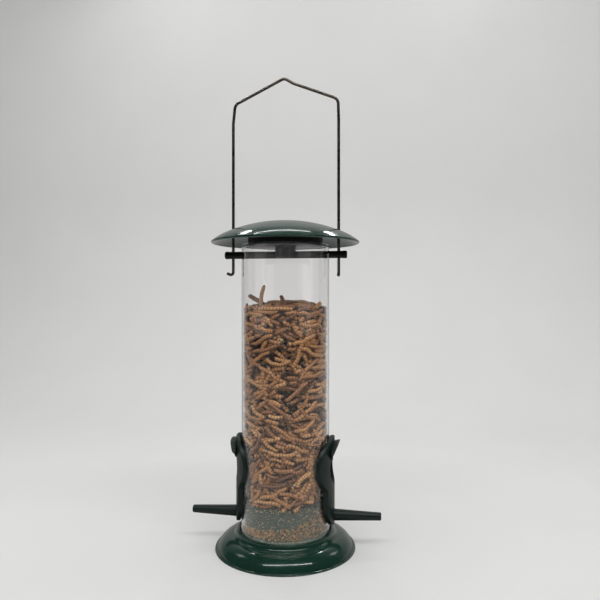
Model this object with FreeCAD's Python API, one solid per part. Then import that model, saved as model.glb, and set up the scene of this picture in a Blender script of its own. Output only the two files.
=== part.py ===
"""A hanging tube feeder for wild birds: a clear tube of dried mealworms on a cast dish, with two
feeding ports, two perches and a cast lid that slides up the legs of a wire handle.

Millimetres, +Z up, origin at the centre of the base on the surface that it stands on. The ports
and the crossbar lie along X, and -Y is the front.
"""
import FreeCAD, Part
import math
import os

from FreeCAD import Vector

# ---- tube
TUBE_RADIUS = 31.5
TUBE_WALL = 1.5
TUBE_TOP = 216.0
FLARE_RADIUS = 32.8          # the foot of the tube is belled over the insert
FLARE_TOP = 17.0
FLARE_BOTTOM = 12.8

# ---- base dish, cast, with the tube standing in its collar
DISH_RADIUS = 50.2
DISH_FLOOR = 5.2             # top of the floor that the tube and the insert stand on
DISH_WALL = 2.0
COLLAR_TOP = 14.0
COLLAR_GAP = 0.2             # round the foot of the tube
CROWN_RADIUS = 38.5          # where the dish is level, between the collar's sweep and the rim
CROWN_HEIGHT = 9.6
CROWN_SWEEP = 3.4            # radius of the hollow sweep from the crown up to the collar
SHOULDER = (45.2, 6.6)       # the crown rolls down to the rim through here, (radius, height)
UNDER_SHOULDER = (43.9, 5.2)
RIM_LEDGE = 48.6             # inner edge of the thin flat rim
RIM_UNDERCUT = 46.9
RIM_THICKNESS = 1.1
RIM_ROUND = 0.9
DISH_RIBS = 6
RIB_THICKNESS = 1.6
RIB_FOOT = 44.6
RIB_HEAD = 39.0

# ---- seed deflector, the moulded insert in the foot of the tube
INSERT_NECK_RADIUS = 29.6
INSERT_NECK = 13.8
INSERT_SHOULDER_RADIUS = 27.6
INSERT_SHOULDER = 33.4
INSERT_APEX = 42.0
INSERT_WALL = 2.0
INSERT_GAP = 0.1
BOSS_RADIUS = 5.0
BOSS_HOLE_TOP = 26.0

# ---- screws
SCREW_RADIUS = 1.75
SCREW_HOLE = 1.85
SCREW_HEAD_RADIUS = 3.6
SCREW_HEAD = 1.9
WASHER = 0.7
BASE_WASHER_RADIUS = 6.5
LID_WASHER_RADIUS = 4.6

# ---- feeding ports
PORT_HEIGHT = 57.6           # axis of the feeding hole
PORT_HOLE_RADIUS = 11.0
PORT_DISC_HEIGHT = 59.6      # the round upper part of the plate sits a little above the hole
PORT_DISC_RADIUS = 20.4
PORT_STEM_HALF = 13.8
PORT_STEM_BOTTOM = 31.0      # centre of the rounded lower end
PORT_WAIST_FILLET = 2.0
PORT_FACE_RADIUS = 27.6      # the outer face curves more sharply than the tube
PORT_FACE = 35.5             # furthest point of the face from the tube's axis
PORT_FIT = 0.1               # between the port and the tube
PORT_EDGE_FILLET = 0.9
PORT_RELIEF_TOP = 70.9       # above this the back of the plate leans off the tube
PORT_RELIEF_BOTTOM = 25.0    # and below this
PORT_LEAN = 0.17             # how far it leans, per unit of height
SPIGOT_RADIUS = 12.4
SPIGOT_END = 26.0
LIP_REACH = 39.7             # tip of the flared lip over the hole
LIP_OUTER = 19.8             # top of the lip from the hole's axis
LIP_HALF_ANGLE = 50.0
LIP_RAMP = ((34.9, 67.5), (46.4, 91.5))  # the lip's two ends run down into the face on this slope

# ---- baffle inside each port
BAFFLE_WALL = 1.5
BAFFLE_FIT = 0.2
BAFFLE_DISC_RADIUS = 16.5
BAFFLE_HOLE = 12.7
BAFFLE_HOOD_START = 18.5
BAFFLE_HOOD_WALL = 1.3
BAFFLE_NECK_HALF = 9.0
BAFFLE_FOOT_HALF = 16.5
BAFFLE_FOOT = (33.8, 37.8)   # lowest and highest level of the foot bar

# ---- perches
PERCH_HEIGHT = 23.6
PERCH_SEAT = 35.6            # flat pad on the port that the perch shoulders against
PERCH_TIP = 68.5
PERCH_ROOT_RADIUS = 4.05
PERCH_TIP_RADIUS = 2.75
PERCH_PEG_RADIUS = 2.5
PERCH_PEG_END = 23.4
PEG_CLEARANCE = 0.2

# ---- crossbar through the head of the tube
BAR_HEIGHT = 209.3
BAR_HALF = 44.4
BAR_RADIUS = 2.6
BAR_KNOB_RADIUS = 2.75
BAR_KNOB = 3.0
BAR_HOLE_RADIUS = 2.9
WIRE_HOLE_RADIUS = 1.3

# ---- wire handle
WIRE_RADIUS = 1.05
LEG_SPAN = 38.4              # each leg from the axis
LEG_STRAIGHT = 305.0         # above this the legs lean in a little
LEFT_SHOULDER = (-37.0, 319.0)   # corners of the wire's centre line before it is rounded, (x, z)
PEAK = (-0.8, 336.8)
KINK = (5.6, 332.8)          # the bender's mark just right of the peak
RIGHT_SHOULDER = (38.0, 320.4)
LEAN_BEND = 30.0             # bend radii
SHOULDER_BEND = 5.0
PEAK_BEND = 4.0
KINK_BEND = 8.0
HOOK_HEIGHT = 194.2
HOOK_BEND = 1.9
HOOK_LENGTH = 4.6
LEFT_HOOK_RISE = 2.0
RIGHT_HOOK_RISE = 0.6

# ---- lid
LID_RADIUS = 53.1
LID_APEX = 233.6
LID_SPHERE = 108.7           # the cap is spherical as far as LID_CAP, then turns down more sharply
LID_CAP = 42.0
LID_EDGE_RADIUS = 47.2
LID_WALL = 1.8
LID_WIRE_HOLE = 1.5
LID_BOSS_RADIUS = 4.0
LID_BOSS_BOTTOM = 222.0

# ---- plug under the lid
PLUG_RADIUS = 26.9
PLUG_BOTTOM = 214.8
PLUG_WALL = 1.8
SADDLE_RADIUS = 7.4          # the foot straddles the crossbar and rests on it
SADDLE_BOTTOM = 207.2
SADDLE_SIDE_GAP = 0.35
SADDLE_TOP_GAP = 0.05
STUB_RADIUS = 5.7            # stub on the foot that nests in the underside of the plug
STUB_TOP = 215.95
STUB_GAP = 0.1
PLUG_LID_GAP = 0.1
PLUG_RIBS = 6

# ---- contents
FEED_TOP = 176.0
FEED_GAP = 0.4
FEED_RECESS = 17.8           # the feed stops this far from the axis behind each port's hole
FEED_RECESS_HALF = 14.4
FEED_RECESS_LEVELS = (44.0, 72.4)
DUST = (14.4, 23.0)          # lowest and highest level of the crumbs round the insert
DUST_GAP = 0.15

X_AXIS = Vector(1, 0, 0)
Z_AXIS = Vector(0, 0, 1)
TUBE_BORE = TUBE_RADIUS - TUBE_WALL
FLARE_BORE = FLARE_RADIUS - TUBE_WALL
BAR_TOP = BAR_HEIGHT + BAR_RADIUS
LID_CENTRE = LID_APEX - LID_SPHERE


def point(radius, height):
    """A point of a turned section, in the XZ plane."""
    return Vector(radius, 0, height)


def line(a, b):
    return Part.LineSegment(a, b).toShape()


def arc(a, middle, b):
    return Part.Arc(a, middle, b).toShape()


def turned(edges, axis=Z_AXIS, base=Vector(0, 0, 0), angle=360.0):
    """The solid swept by a closed section round an axis."""
    return Part.Face(Part.Wire(edges)).revolve(base, axis, angle)


def turned_outline(points):
    """A turned solid whose section is a polygon of (radius, height)."""
    corners = [point(*p) for p in points]
    return turned([line(a, b) for a, b in zip(corners, corners[1:] + corners[:1])])


def rod_z(radius, bottom, top, x=0.0, y=0.0):
    return Part.makeCylinder(radius, top - bottom, Vector(x, y, bottom), Z_AXIS)


def rod_x(radius, start, end, height, y=0.0):
    return Part.makeCylinder(radius, end - start, Vector(start, y, height), X_AXIS)


def block(x, y, z):
    """A box from three (low, high) pairs."""
    size = [high - low for low, high in (x, y, z)]
    return Part.makeBox(*size, Vector(x[0], y[0], z[0]))


def mirrored(shape):
    """The same part for the -X side."""
    return shape.mirror(Vector(0, 0, 0), X_AXIS)


def on_circle(radius, centre, degrees):
    """A point of the XZ plane at an angle above +X from a centre (x, z)."""
    turn = math.radians(degrees)
    return point(centre[0] + radius * math.cos(turn), centre[1] + radius * math.sin(turn))


def base_dish():
    """Cast dish: a rolling crown that sweeps up to the collar, a floor, a rim and ribs below."""
    collar_outer = CROWN_RADIUS - CROWN_SWEEP
    collar_inner = FLARE_RADIUS + COLLAR_GAP
    lip = (collar_outer - collar_inner) / 2
    lip_centre = (collar_inner + lip, COLLAR_TOP - lip)
    sweep_centre = (CROWN_RADIUS, CROWN_HEIGHT + CROWN_SWEEP)
    ledge = point(RIM_LEDGE, RIM_THICKNESS)
    crown = point(CROWN_RADIUS, CROWN_HEIGHT)
    under_crown = point(CROWN_RADIUS, CROWN_HEIGHT - DISH_WALL)
    undercut = point(RIM_UNDERCUT, 0)
    rim_side = point(DISH_RADIUS, RIM_THICKNESS / 2)
    rim_round = point(DISH_RADIUS - RIM_ROUND / 3, RIM_THICKNESS - 0.1)
    rim_top = point(DISH_RADIUS - RIM_ROUND, RIM_THICKNESS)
    floor_bottom = DISH_FLOOR - DISH_WALL
    cup_outer = collar_inner + DISH_WALL
    lip_outside = on_circle(lip, lip_centre, 0)
    lip_inside = on_circle(lip, lip_centre, 180)
    edges = [
        line(point(SCREW_HOLE, floor_bottom), point(cup_outer, floor_bottom)),
        line(point(cup_outer, floor_bottom), point(cup_outer, under_crown.z)),
        line(point(cup_outer, under_crown.z), under_crown),
        arc(under_crown, point(*UNDER_SHOULDER), undercut),
        line(undercut, point(DISH_RADIUS, 0)),
        line(point(DISH_RADIUS, 0), rim_side),
        arc(rim_side, rim_round, rim_top),
        line(rim_top, ledge),
        arc(ledge, point(*SHOULDER), crown),
        arc(crown, on_circle(CROWN_SWEEP, sweep_centre, 225), on_circle(CROWN_SWEEP, sweep_centre, 180)),
        line(on_circle(CROWN_SWEEP, sweep_centre, 180), lip_outside),
        arc(lip_outside, on_circle(lip, lip_centre, 90), lip_inside),
        line(lip_inside, point(collar_inner, DISH_FLOOR)),
        line(point(collar_inner, DISH_FLOOR), point(SCREW_HOLE, DISH_FLOOR)),
        line(point(SCREW_HOLE, DISH_FLOOR), point(SCREW_HOLE, floor_bottom)),
    ]
    dish = turned(edges)
    rib_top = under_crown.z + 0.4
    rib_root = cup_outer - 0.5
    corners = [(rib_root, floor_bottom), (RIB_FOOT, floor_bottom), (RIB_HEAD, rib_top), (rib_root, rib_top)]
    rib = prism_y(corners, RIB_THICKNESS / 2)
    for k in range(DISH_RIBS):
        turned_rib = rib.copy()
        turned_rib.rotate(Vector(0, 0, 0), Z_AXIS, 360.0 * k / DISH_RIBS)
        dish = dish.fuse(turned_rib)
    return dish.removeSplitter()


def tube():
    """Clear tube, belled at the foot, with holes for the crossbar, the ports and the perch pegs."""
    wall = turned_outline([
        (FLARE_RADIUS, DISH_FLOOR),
        (FLARE_RADIUS, FLARE_BOTTOM),
        (TUBE_RADIUS, FLARE_TOP),
        (TUBE_RADIUS, TUBE_TOP),
        (TUBE_BORE, TUBE_TOP),
        (TUBE_BORE, FLARE_TOP + 0.2),
        (FLARE_BORE, FLARE_BOTTOM + 0.2),
        (FLARE_BORE, DISH_FLOOR),
    ])
    wall = wall.cut(rod_x(BAR_HOLE_RADIUS, -40, 40, BAR_HEIGHT))
    wall = wall.cut(rod_x(SPIGOT_RADIUS + PEG_CLEARANCE, -40, 40, PORT_HEIGHT))
    return wall.cut(rod_x(PERCH_PEG_RADIUS + PEG_CLEARANCE, -40, 40, PERCH_HEIGHT))


def insert_radius(height):
    """Outside of the insert's tapering side at a level."""
    share = (height - INSERT_NECK) / (INSERT_SHOULDER - INSERT_NECK)
    return INSERT_NECK_RADIUS + share * (INSERT_SHOULDER_RADIUS - INSERT_NECK_RADIUS)


def base_insert():
    """Moulded deflector: a tapering skirt under a low cone, hollow below, with a screw boss."""
    foot_radius = FLARE_BORE - INSERT_GAP
    shoulder = 1.4
    slope = (INSERT_APEX - INSERT_SHOULDER - shoulder) / (INSERT_SHOULDER_RADIUS - shoulder)
    cone_start = INSERT_SHOULDER_RADIUS - shoulder
    cone_end = point(cone_start, INSERT_APEX - slope * cone_start)
    shoulder_middle = point(INSERT_SHOULDER_RADIUS - 0.35 * shoulder, INSERT_SHOULDER + 0.75 * shoulder)
    inner_side = INSERT_SHOULDER_RADIUS - INSERT_WALL
    boss_root = point(BOSS_RADIUS, INSERT_APEX - INSERT_WALL - slope * BOSS_RADIUS)
    inner_shoulder = point(inner_side, INSERT_APEX - INSERT_WALL - slope * inner_side)
    inner_neck = point(INSERT_NECK_RADIUS - INSERT_WALL, INSERT_NECK)
    inner_foot = point(foot_radius - INSERT_WALL, INSERT_NECK - 1.6)
    edges = [
        line(point(BOSS_RADIUS, DISH_FLOOR), boss_root),
        line(boss_root, inner_shoulder),
        line(inner_shoulder, inner_neck),
        line(inner_neck, inner_foot),
        line(inner_foot, point(foot_radius - INSERT_WALL, DISH_FLOOR)),
        line(point(foot_radius - INSERT_WALL, DISH_FLOOR), point(foot_radius, DISH_FLOOR)),
        line(point(foot_radius, DISH_FLOOR), point(foot_radius, FLARE_BOTTOM)),
        line(point(foot_radius, FLARE_BOTTOM), point(INSERT_NECK_RADIUS, INSERT_NECK)),
        line(point(INSERT_NECK_RADIUS, INSERT_NECK), point(INSERT_SHOULDER_RADIUS, INSERT_SHOULDER)),
        arc(point(INSERT_SHOULDER_RADIUS, INSERT_SHOULDER), shoulder_middle, cone_end),
        line(cone_end, point(0, INSERT_APEX)),
        line(point(0, INSERT_APEX), point(0, BOSS_HOLE_TOP)),
        line(point(0, BOSS_HOLE_TOP), point(SCREW_HOLE, BOSS_HOLE_TOP)),
        line(point(SCREW_HOLE, BOSS_HOLE_TOP), point(SCREW_HOLE, DISH_FLOOR)),
        line(point(SCREW_HOLE, DISH_FLOOR), point(BOSS_RADIUS, DISH_FLOOR)),
    ]
    body = turned(edges)
    for start, end in ((22, 40), (-40, -22)):
        body = body.cut(rod_x(PERCH_PEG_RADIUS + PEG_CLEARANCE, start, end, PERCH_HEIGHT))
    return body


def screw(head_bottom, tip):
    """Pan-head screw with a cross recess, head downwards, pointing up the axis."""
    head_top = head_bottom + SCREW_HEAD
    body = turned([
        line(point(0, head_bottom), point(1.2, head_bottom)),
        arc(point(1.2, head_bottom), point(3.0, head_bottom + 0.5), point(SCREW_HEAD_RADIUS, head_top)),
        line(point(SCREW_HEAD_RADIUS, head_top), point(SCREW_RADIUS, head_top)),
        line(point(SCREW_RADIUS, head_top), point(SCREW_RADIUS, tip - SCREW_RADIUS)),
        line(point(SCREW_RADIUS, tip - SCREW_RADIUS), point(0, tip)),
        line(point(0, tip), point(0, head_bottom)),
    ])
    slot = (-1.9, 1.9)
    width = (-0.35, 0.35)
    depth = (head_bottom - 1, head_bottom + 1.0)
    return body.cut(block(slot, width, depth)).cut(block(width, slot, depth))


def washer(radius, bottom):
    ring = rod_z(radius, bottom, bottom + WASHER)
    return ring.cut(rod_z(SCREW_HOLE + 0.1, bottom - 1, bottom + WASHER + 1))


def port_outline(start, end):
    """The port's outline, a disc on a round-ended stem, as a bar along X."""
    disc = rod_x(PORT_DISC_RADIUS, start, end, PORT_DISC_HEIGHT)
    stem = block((start, end), (-PORT_STEM_HALF, PORT_STEM_HALF), (PORT_STEM_BOTTOM, PORT_HEIGHT))
    foot = rod_x(PORT_STEM_HALF, start, end, PORT_STEM_BOTTOM)
    outline = disc.fuse(stem).fuse(foot).removeSplitter()
    waist = PORT_DISC_HEIGHT - math.sqrt(PORT_DISC_RADIUS ** 2 - PORT_STEM_HALF ** 2)
    corners = [
        e for e in outline.Edges
        if abs(e.CenterOfMass.z - waist) < 0.1 and abs(e.BoundBox.XLength - (end - start)) < 0.1
    ]
    return outline.makeFillet(PORT_WAIST_FILLET, corners)


def prism_y(corners, half_width):
    """A bar along Y whose section is a polygon of (x, z)."""
    loop = [Vector(x, -half_width, z) for x, z in corners]
    return Part.Face(Part.makePolygon(loop + loop[:1])).extrude(Vector(0, 2 * half_width, 0))


def port_lip():
    """Flared lip over the hole: part of a ring round the hole's axis that fades at its two ends."""
    def section(radius, reach):
        return Vector(reach, 0, PORT_HEIGHT + radius)
    throat = section(PORT_HOLE_RADIUS - 0.5, PORT_FACE - 1.0)
    under_tip = section(LIP_OUTER - 2.6, LIP_REACH - 0.5)
    over_tip = section(LIP_OUTER - 0.5, LIP_REACH - 1.6)
    back = section(LIP_OUTER - 1.0, PORT_FACE + 0.3)
    root = section(LIP_OUTER - 1.6, PORT_FACE - 1.5)
    inner_root = section(PORT_HOLE_RADIUS - 0.5, PORT_FACE - 1.5)
    ring = turned(
        [
            line(inner_root, throat),
            arc(throat, section(PORT_HOLE_RADIUS + 2.4, PORT_FACE + 1.3), under_tip),
            arc(under_tip, section(LIP_OUTER - 1.4, LIP_REACH), over_tip),
            line(over_tip, back),
            line(back, root),
            line(root, inner_root),
        ],
        axis=X_AXIS,
        base=Vector(0, 0, PORT_HEIGHT),
        angle=2 * LIP_HALF_ANGLE,
    )
    ring.rotate(Vector(0, 0, PORT_HEIGHT), X_AXIS, -LIP_HALF_ANGLE)
    low, high = LIP_RAMP
    below = low[1] - 20
    return ring.cut(prism_y([(low[0], below), (50, below), (50, high[1]), high, low], 30))


def plate_relief():
    """Cones cut from the back of the plate, so that its two ends stand off the tube."""
    surface = TUBE_RADIUS + PORT_FIT
    tall = 15.0
    wide = surface + PORT_LEAN * tall
    above = Part.makeCone(surface, wide, tall, Vector(0, 0, PORT_RELIEF_TOP), Z_AXIS)
    below = Part.makeCone(wide, surface, tall, Vector(0, 0, PORT_RELIEF_BOTTOM - tall), Z_AXIS)
    return above.fuse(below)


def port_body():
    """Port for the +X side: face plate, flared lip, perch boss and the spigot through the tube."""
    face_centre = PORT_FACE - PORT_FACE_RADIUS
    plate = port_outline(15, 45).common(rod_z(PORT_FACE_RADIUS, 10, 90, x=face_centre))
    plate = plate.cut(rod_z(TUBE_RADIUS + PORT_FIT, 5, 95))
    face_edges = []
    for edge in plate.Edges:
        along = [edge.valueAt(edge.FirstParameter + s * (edge.LastParameter - edge.FirstParameter))
                 for s in (0.0, 0.3, 0.7, 1.0)]
        if all(abs(math.hypot(p.x - face_centre, p.y) - PORT_FACE_RADIUS) < 0.01 for p in along):
            face_edges.append(edge)
    plate = plate.makeFillet(PORT_EDGE_FILLET, face_edges).cut(plate_relief())
    boss = rod_x(PERCH_ROOT_RADIUS + 0.3, TUBE_RADIUS + 1, PERCH_SEAT, PERCH_HEIGHT)
    spigot = rod_x(SPIGOT_RADIUS, SPIGOT_END, TUBE_RADIUS + 1, PORT_HEIGHT)
    body = plate.fuse(boss).fuse(spigot).fuse(port_lip())
    body = body.cut(rod_x(PORT_HOLE_RADIUS, 15, 45, PORT_HEIGHT))
    return body.cut(rod_x(PERCH_PEG_RADIUS + PEG_CLEARANCE, 15, 45, PERCH_HEIGHT)).removeSplitter()


def port_baffle():
    """Inner plate that backs the port inside the tube, with a hood that holds the feed back."""
    outer = TUBE_BORE - BAFFLE_FIT
    shell = rod_z(outer, 25, 85).cut(rod_z(outer - BAFFLE_WALL, 24, 86))
    disc = rod_x(BAFFLE_DISC_RADIUS, 10, 31, PORT_HEIGHT)
    neck = block((10, 31), (-BAFFLE_NECK_HALF, BAFFLE_NECK_HALF), (BAFFLE_FOOT[0], PORT_HEIGHT))
    foot = block((10, 31), (-BAFFLE_FOOT_HALF, BAFFLE_FOOT_HALF), BAFFLE_FOOT)
    plate = shell.common(disc.fuse(neck).fuse(foot))
    hood = rod_x(BAFFLE_HOLE + BAFFLE_HOOD_WALL, BAFFLE_HOOD_START, 29.4, PORT_HEIGHT)
    hood = hood.common(block((10, 31), (-20, 20), (PORT_HEIGHT, PORT_HEIGHT + 20)))
    hood = hood.common(rod_z(outer, 25, 85))
    bore = rod_x(BAFFLE_HOLE, 5, 35, PORT_HEIGHT)
    return plate.fuse(hood).cut(bore).removeSplitter()


def perch():
    """Tapering perch for the +X side, with a barbed peg that locks port, tube and insert."""
    def on_axis(x, radius):
        return Vector(x, 0, PERCH_HEIGHT + radius)
    tip_round = 0.8
    barb = PERCH_PEG_RADIUS + 0.45
    outline = [
        (PERCH_PEG_END, 0), (PERCH_PEG_END, 1.9), (PERCH_PEG_END + 2.2, barb),
        (PERCH_PEG_END + 2.8, barb), (PERCH_PEG_END + 2.8, PERCH_PEG_RADIUS),
        (PERCH_SEAT, PERCH_PEG_RADIUS), (PERCH_SEAT, PERCH_ROOT_RADIUS),
        (PERCH_TIP - tip_round, PERCH_TIP_RADIUS),
    ]
    corners = [on_axis(*p) for p in outline]
    edges = [line(a, b) for a, b in zip(corners, corners[1:])]
    rounded = arc(corners[-1], on_axis(PERCH_TIP - 0.25, PERCH_TIP_RADIUS - 0.25),
                  on_axis(PERCH_TIP, PERCH_TIP_RADIUS - tip_round))
    edges += [
        rounded,
        line(on_axis(PERCH_TIP, PERCH_TIP_RADIUS - tip_round), on_axis(PERCH_TIP, 0)),
        line(on_axis(PERCH_TIP, 0), corners[0]),
    ]
    return turned(edges, axis=X_AXIS, base=Vector(0, 0, PERCH_HEIGHT))


def crossbar():
    """Bar through the head of the tube, knobbed at its ends and drilled for the wire's legs."""
    bar = rod_x(BAR_RADIUS, -BAR_HALF, BAR_HALF, BAR_HEIGHT)
    for start in (-BAR_HALF, BAR_HALF - BAR_KNOB):
        bar = bar.fuse(rod_x(BAR_KNOB_RADIUS, start, start + BAR_KNOB, BAR_HEIGHT))
    end_edges = [e for e in bar.Edges
                 if abs(abs(e.CenterOfMass.x) - BAR_HALF) < 0.01 and e.BoundBox.YLength > 2]
    bar = bar.makeFillet(0.9, end_edges)
    for x in (-LEG_SPAN, LEG_SPAN):
        bar = bar.cut(rod_z(WIRE_HOLE_RADIUS, BAR_HEIGHT - 5, BAR_HEIGHT + 5, x=x))
    return bar


def rounded_path(corners):
    """A wire of straight runs through corners, each (point, bend radius), with tangent arcs."""
    edges = []
    start = corners[0][0]
    for k in range(1, len(corners) - 1):
        corner, radius = corners[k]
        back = (corners[k - 1][0] - corner).normalize()
        ahead = (corners[k + 1][0] - corner).normalize()
        half_turn = (math.pi - back.getAngle(ahead)) / 2
        reach = radius * math.tan(half_turn)
        bisector = (back + ahead).normalize()
        entry = corner + back * reach
        leave = corner + ahead * reach
        middle = corner + bisector * (radius / math.cos(half_turn) - radius)
        edges += [line(start, entry), arc(entry, middle, leave)]
        start = leave
    edges.append(line(start, corners[-1][0]))
    return Part.Wire(edges)


def wire_handle():
    """Bent wire: two legs, two shoulders and a peak. One end turns out, the other to the front."""
    left_end = Vector(-LEG_SPAN - HOOK_LENGTH, 0, HOOK_HEIGHT + LEFT_HOOK_RISE)
    right_end = Vector(LEG_SPAN, -HOOK_LENGTH, HOOK_HEIGHT + RIGHT_HOOK_RISE)
    path = rounded_path([
        (left_end, 0),
        (point(-LEG_SPAN, HOOK_HEIGHT), HOOK_BEND),
        (point(-LEG_SPAN, LEG_STRAIGHT), LEAN_BEND),
        (point(*LEFT_SHOULDER), SHOULDER_BEND),
        (point(*PEAK), PEAK_BEND),
        (point(*KINK), KINK_BEND),
        (point(*RIGHT_SHOULDER), SHOULDER_BEND),
        (point(LEG_SPAN, LEG_STRAIGHT), LEAN_BEND),
        (point(LEG_SPAN, HOOK_HEIGHT), HOOK_BEND),
        (right_end, 0),
    ])
    first = path.Edges[0]
    direction = first.tangentAt(first.FirstParameter)
    section = Part.Wire(Part.makeCircle(WIRE_RADIUS, left_end, direction))
    return path.makePipeShell([section], True, True)


def lid_profile(offset):
    """The arcs of the lid's section from the axis to its edge, moved in by an offset.

    Gives the apex, a point on the cap, the point where the two arcs meet, a point on the edge arc
    and the end of the edge arc.
    """
    cap = LID_SPHERE - offset
    edge = LID_EDGE_RADIUS - offset
    meet_angle = math.acos(LID_CAP / LID_SPHERE)
    edge_x = LID_CAP - LID_EDGE_RADIUS * math.cos(meet_angle)
    edge_z = LID_CENTRE + (LID_SPHERE - LID_EDGE_RADIUS) * math.sin(meet_angle)
    end_angle = math.acos((LID_RADIUS - LID_WALL / 2 - edge_x) / (LID_EDGE_RADIUS - LID_WALL / 2))
    centre = (0, LID_CENTRE)
    meet = math.degrees(meet_angle)
    end = math.degrees(end_angle)
    edge_centre = (edge_x, edge_z)
    return (
        on_circle(cap, centre, 90),
        on_circle(cap, centre, (90 + meet) / 2),
        on_circle(cap, centre, meet),
        on_circle(edge, edge_centre, (meet + end) / 2),
        on_circle(edge, edge_centre, end),
    )


def lid_dome():
    """Cast lid: a shallow domed shell with a rounded edge, a screw boss and two wire holes."""
    apex, cap, meet, edge, end = lid_profile(0)
    _, _, inner_meet, inner_edge, inner_end = lid_profile(LID_WALL)
    round_middle = (end + inner_end) * 0.5
    tangent = (end - inner_end).normalize().cross(Vector(0, -1, 0))
    round_off = round_middle + tangent * (LID_WALL / 2)
    inner_sphere = LID_SPHERE - LID_WALL
    boss_meet = point(LID_BOSS_RADIUS, LID_CENTRE + math.sqrt(inner_sphere ** 2 - LID_BOSS_RADIUS ** 2))
    under_cap = point(LID_CAP / 2, LID_CENTRE + math.sqrt(inner_sphere ** 2 - (LID_CAP / 2) ** 2))
    screw_top = LID_APEX - 2.6
    edges = [
        arc(apex, cap, meet),
        arc(meet, edge, end),
        arc(end, round_off, inner_end),
        arc(inner_end, inner_edge, inner_meet),
        arc(inner_meet, under_cap, boss_meet),
        line(boss_meet, point(LID_BOSS_RADIUS, LID_BOSS_BOTTOM)),
        line(point(LID_BOSS_RADIUS, LID_BOSS_BOTTOM), point(SCREW_HOLE, LID_BOSS_BOTTOM)),
        line(point(SCREW_HOLE, LID_BOSS_BOTTOM), point(SCREW_HOLE, screw_top)),
        line(point(SCREW_HOLE, screw_top), point(0, screw_top)),
        line(point(0, screw_top), apex),
    ]
    dome = turned(edges)
    for x in (-LEG_SPAN, LEG_SPAN):
        dome = dome.cut(rod_z(LID_WIRE_HOLE, 210, 240, x=x))
    return dome


def lid_plug():
    """Moulded cup under the lid that drops into the tube."""
    top_sphere = LID_SPHERE - LID_WALL - PLUG_LID_GAP
    under_lid = Part.makeSphere(top_sphere, Vector(0, 0, LID_CENTRE))
    cup = rod_z(PLUG_RADIUS, PLUG_BOTTOM, LID_APEX).common(under_lid)
    bottom_edges = [e for e in cup.Edges if abs(e.CenterOfMass.z - PLUG_BOTTOM) < 0.01]
    cup = cup.makeFillet(0.8, bottom_edges)
    cup = cup.cut(rod_z(PLUG_RADIUS - PLUG_WALL, PLUG_BOTTOM + PLUG_WALL, LID_APEX + 5))
    tower = rod_z(LID_BOSS_RADIUS + 2.0, PLUG_BOTTOM, LID_BOSS_BOTTOM + 3.0)
    rib_span = (LID_BOSS_RADIUS + 1.0, PLUG_RADIUS - 1.0)
    rib = block(rib_span, (-0.7, 0.7), (PLUG_BOTTOM + 1.0, LID_BOSS_BOTTOM))
    for k in range(PLUG_RIBS):
        turned_rib = rib.copy()
        turned_rib.rotate(Vector(0, 0, 0), Z_AXIS, 30 + 360.0 * k / PLUG_RIBS)
        tower = tower.fuse(turned_rib)
    plug = cup.fuse(tower)
    plug = plug.cut(rod_z(LID_BOSS_RADIUS + 0.15, LID_BOSS_BOTTOM - 0.1, LID_APEX + 5))
    plug = plug.cut(rod_z(SCREW_HOLE + 0.1, PLUG_BOTTOM - 1, LID_APEX))
    seat = rod_z(STUB_RADIUS + STUB_GAP, PLUG_BOTTOM - 1, STUB_TOP + STUB_GAP)
    return plug.cut(seat).removeSplitter()


def lid_saddle():
    """Foot screwed under the plug. It straddles the crossbar, and the lid's weight rests on it."""
    slot_top = BAR_TOP + SADDLE_TOP_GAP
    slot_half = BAR_RADIUS + SADDLE_SIDE_GAP
    foot = rod_z(SADDLE_RADIUS, SADDLE_BOTTOM, PLUG_BOTTOM)
    foot = foot.fuse(rod_z(STUB_RADIUS, PLUG_BOTTOM - 1, STUB_TOP))
    foot = foot.cut(block((-20, 20), (-slot_half, slot_half), (SADDLE_BOTTOM - 1, slot_top)))
    foot = foot.cut(rod_z(SCREW_HOLE + 0.1, slot_top - 1, LID_APEX))
    recess = slot_top + SCREW_HEAD + WASHER + 0.4
    return foot.cut(rod_z(LID_WASHER_RADIUS + 0.2, SADDLE_BOTTOM - 1, recess)).removeSplitter()


def mealworm_feed():
    """The column of dried mealworms, plain, with a recess behind each port."""
    radius = TUBE_BORE - FEED_GAP
    column = turned_outline([
        (0, INSERT_APEX + 0.7),
        (INSERT_SHOULDER_RADIUS - 1.0, 36.0),
        (INSERT_SHOULDER_RADIUS + 0.6, 34.8),
        (radius, 34.8),
        (radius, FEED_TOP - 1.5),
        (radius - 6, FEED_TOP),
        (0, FEED_TOP),
    ])
    room = 0.4
    plate_back = TUBE_BORE - BAFFLE_FIT - BAFFLE_WALL - room
    behind_plate = rod_z(TUBE_RADIUS, 30, 80).cut(rod_z(plate_back, 30, 80))
    plate_levels = (BAFFLE_FOOT[0] - room, PORT_HEIGHT + BAFFLE_DISC_RADIUS + room)
    plate_half = BAFFLE_DISC_RADIUS + room
    for side in (1, -1):
        depth = sorted((side * FEED_RECESS, side * 35))
        across = sorted((side * 10, side * 35))
        column = column.cut(block(depth, (-FEED_RECESS_HALF, FEED_RECESS_HALF), FEED_RECESS_LEVELS))
        column = column.cut(behind_plate.common(block(across, (-plate_half, plate_half), plate_levels)))
    return column


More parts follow.
